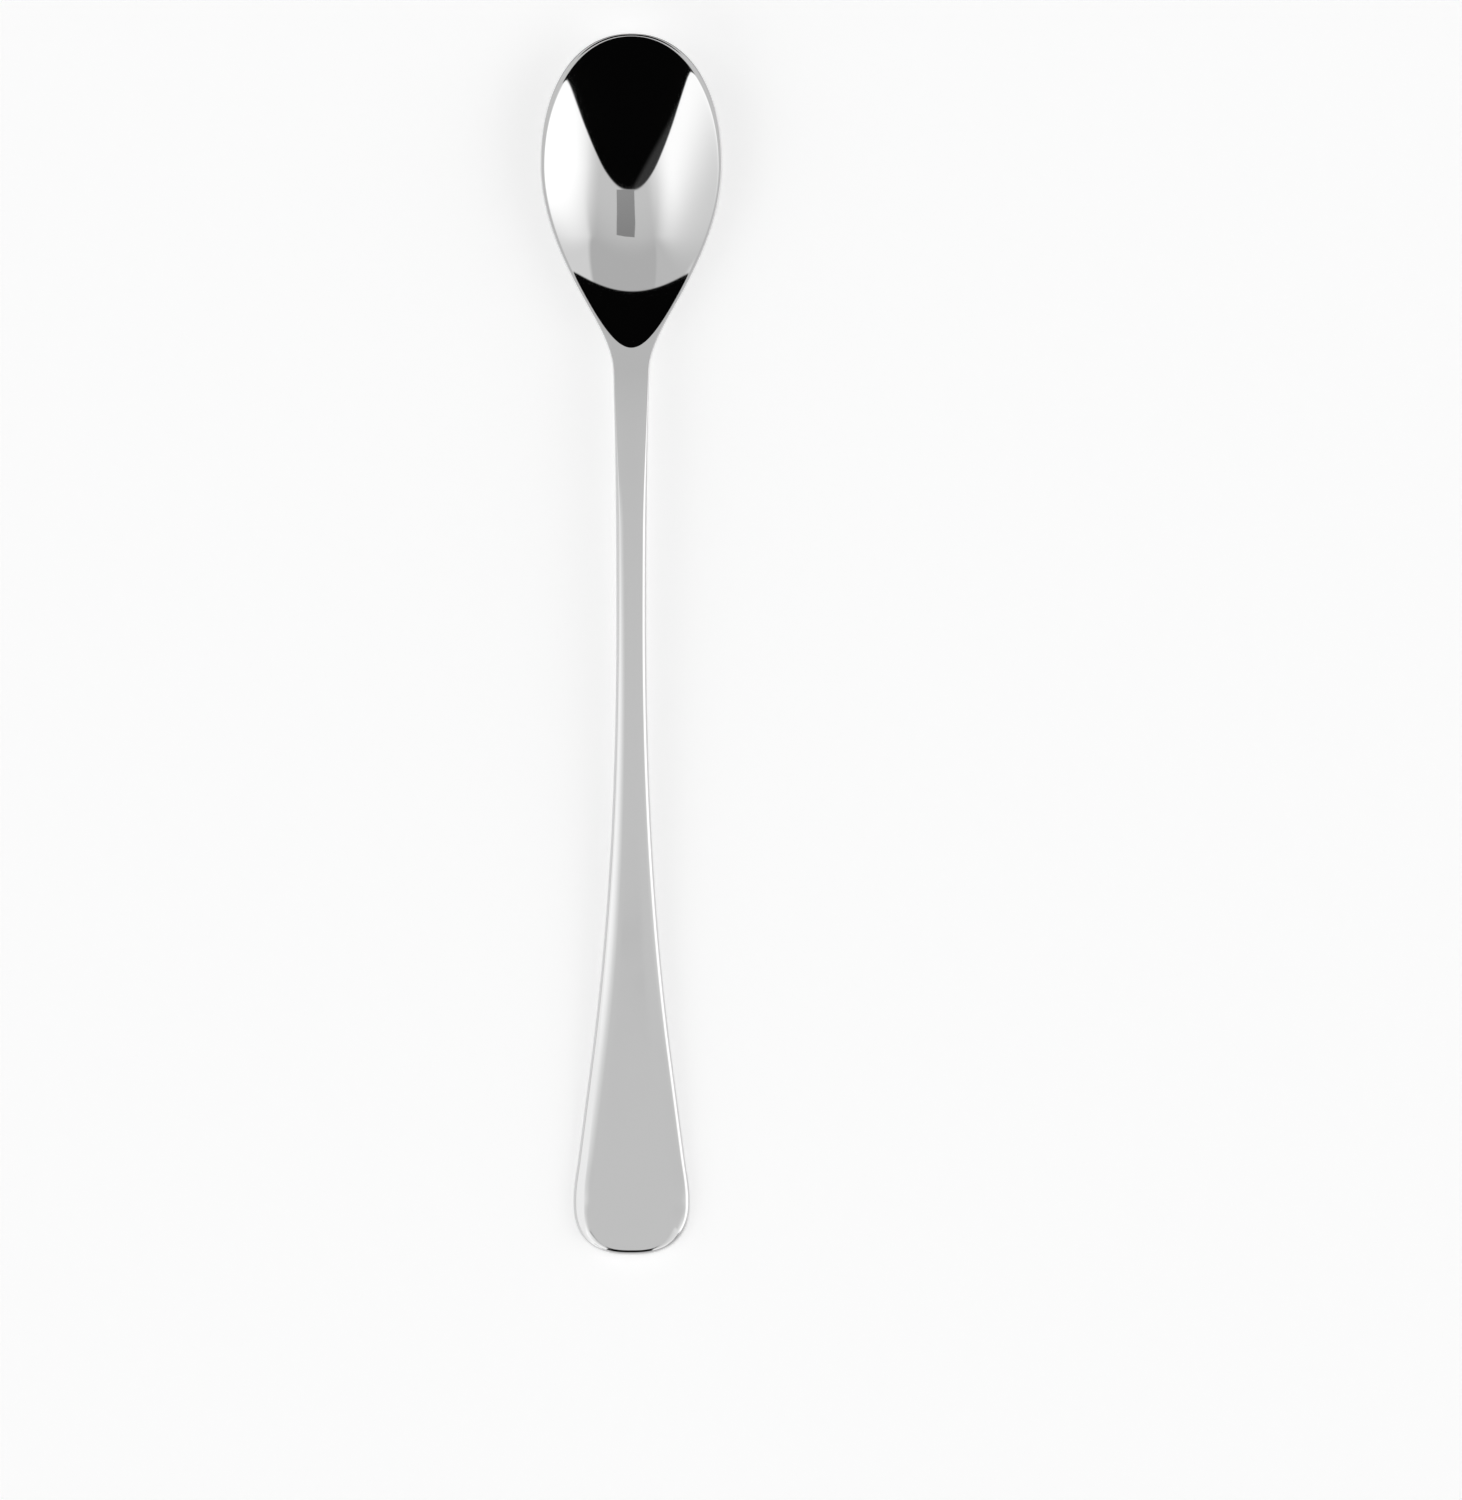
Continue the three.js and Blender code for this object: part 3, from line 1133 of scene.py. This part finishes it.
        tree.nodes.active = add_node(tree, "ShaderNodeOutputWorld", inputs={"Surface": shine})
        return world


@dataclass(frozen=True)
class ReflectorCard:
    """Small card over the spoon or in its bowl's mouth, which only the steel's mirror sees.

    corners are its places in plan. near and far each hold a distance from the first corner and how bright
    the card is there.
    """

    name: str
    corners: tuple[Pair, ...]
    height: float
    near: Pair
    far: Pair

    def build(self) -> bpy.types.Object:
        """Builds the card.

        Returns:
            The card.
        """
        mesh = bpy.data.meshes.new(self.name)
        base = self.corners[0]
        mesh.from_pydata([((x - base[0]) * MM, (y - base[1]) * MM, 0.0) for x, y in self.corners], [],
                         [list(range(len(self.corners)))])
        card = bpy.data.objects.new(self.name, mesh)
        card.location = (base[0] * MM, base[1] * MM, self.height * MM)
        bpy.context.scene.collection.objects.link(card)
        card.data.materials.append(self.material())
        card.visible_camera = card.visible_diffuse = card.visible_shadow = False
        return card

    def material(self) -> bpy.types.Material:
        """Makes the lit card, whose light changes with the distance from its first corner.

        Returns:
            The new material.
        """
        material = bpy.data.materials.new(f"{self.name}_lit_paper")
        tree = empty_tree(material)
        place = add_node(tree, "ShaderNodeTexCoord").outputs["Object"]
        away = add_node(tree, "ShaderNodeVectorMath", {"operation": "LENGTH"}, {0: place}).outputs["Value"]
        level = add_node(tree, "ShaderNodeMapRange", inputs={
            "Value": away, "From Min": self.near[0] * MM, "From Max": self.far[0] * MM,
            "To Min": self.near[1], "To Max": self.far[1]}).outputs["Result"]
        shine = add_node(tree, "ShaderNodeEmission", inputs={"Strength": level}).outputs[0]
        add_node(tree, "ShaderNodeOutputMaterial", inputs={"Surface": shine})
        return material


CARDS: tuple[ReflectorCard, ...] = (
    ReflectorCard(
        "left_card",
        ((-12.0, -135.0), (-74.0, -141.0), (-97.0, -151.0), (-124.0, -174.0), (-150.0, -210.0), (-150.0, -420.0),
         (-105.0, -420.0)),
        height=230.0, near=(0.0, 0.85), far=(110.0, 1.45)),
    ReflectorCard(
        "right_card",
        ((8.0, -131.0), (74.0, -131.0), (104.0, -139.0), (138.0, -163.0), (170.0, -204.0), (170.0, -420.0),
         (66.0, -420.0)),
        height=230.0, near=(0.0, 0.82), far=(240.0, 1.4)),
    ReflectorCard(
        "handle_card",
        ((-40.0, 45.0), (-60.0, 45.0), (-60.0, -125.0), (-22.0, -125.0), (-22.0, 45.0)),
        height=31.0, near=(10.0, 0.8), far=(55.0, 1.25)),
    ReflectorCard(
        "grey_card",
        ((-1.5, 74.05), (0.2, 74.0), (0.2, 69.3), (0.1, 67.2), (-0.4, 67.3), (-0.9, 67.6), (-1.1, 69.4)),
        height=6.1, near=(0.0, 0.41), far=(7.0, 0.33)),
)


@dataclass(frozen=True)
class PhotoCamera:
    """Long lens square on to the spoon's face, with the photograph's framing."""

    middle: Pair = (16.3, -17.2)
    height: float = 1600.0
    face_height: float = 7.3
    seen_height: float = 245.1
    sensor: float = 36.0

    def build(self) -> bpy.types.Object:
        """Builds the camera and makes it the scene's.

        Returns:
            The camera.
        """
        data = bpy.data.cameras.new("photo_camera")
        data.sensor_fit = "VERTICAL"
        data.sensor_height = self.sensor
        data.lens = self.sensor * (self.height - self.face_height) / self.seen_height
        camera = bpy.data.objects.new("photo_camera", data)
        camera.location = (self.middle[0] * MM, self.middle[1] * MM, self.height * MM)
        bpy.context.scene.collection.objects.link(camera)
        bpy.context.scene.camera = camera
        return camera


def corners(box: tuple[Vector, Vector]) -> list[list[float]]:
    """Lowest and highest corner of a box as plain lists."""
    return [[float(c) for c in corner] for corner in box]


def main() -> None:
    """Builds the studio and the spoon and reports each piece."""
    logging.basicConfig(level=logging.INFO)
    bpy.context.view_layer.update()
    bpy.context.scene.view_settings.view_transform = "Standard"
    PhotoCamera().build()
    Studio().build()
    PaperFloor().build()
    for card in CARDS:
        card.build()
    skin = SpoonSkin(SpoonForm())
    skin.weave()
    joint = NeckJoint()
    pieces = (
        NeckPiece("bowl_pressed", CadNode.BOWL, Slot.BOWL, JointPart.TANG, skin, joint,
                  PolishedSteel("stainless_pressed_mirror_polished")),
        NeckPiece("handle_forged", CadNode.HANDLE, Slot.HANDLE, JointPart.SOCKET, skin, joint,
                  PolishedSteel("stainless_forged_mirror_polished", haze_low=0.045, haze_high=0.08)),
    )
    for piece in pieces:
        built = piece.build()
        piece.dress(built)
        log.info("%s: %d faces, stands for %s", built.name, len(built.data.polygons), piece.node.value)
    filler = BrazedFiller().dress()
    log.info("%s: solid kept, dressed as %s", filler.name, filler.data.materials[0].name)


if __name__ == "__main__":
    main()
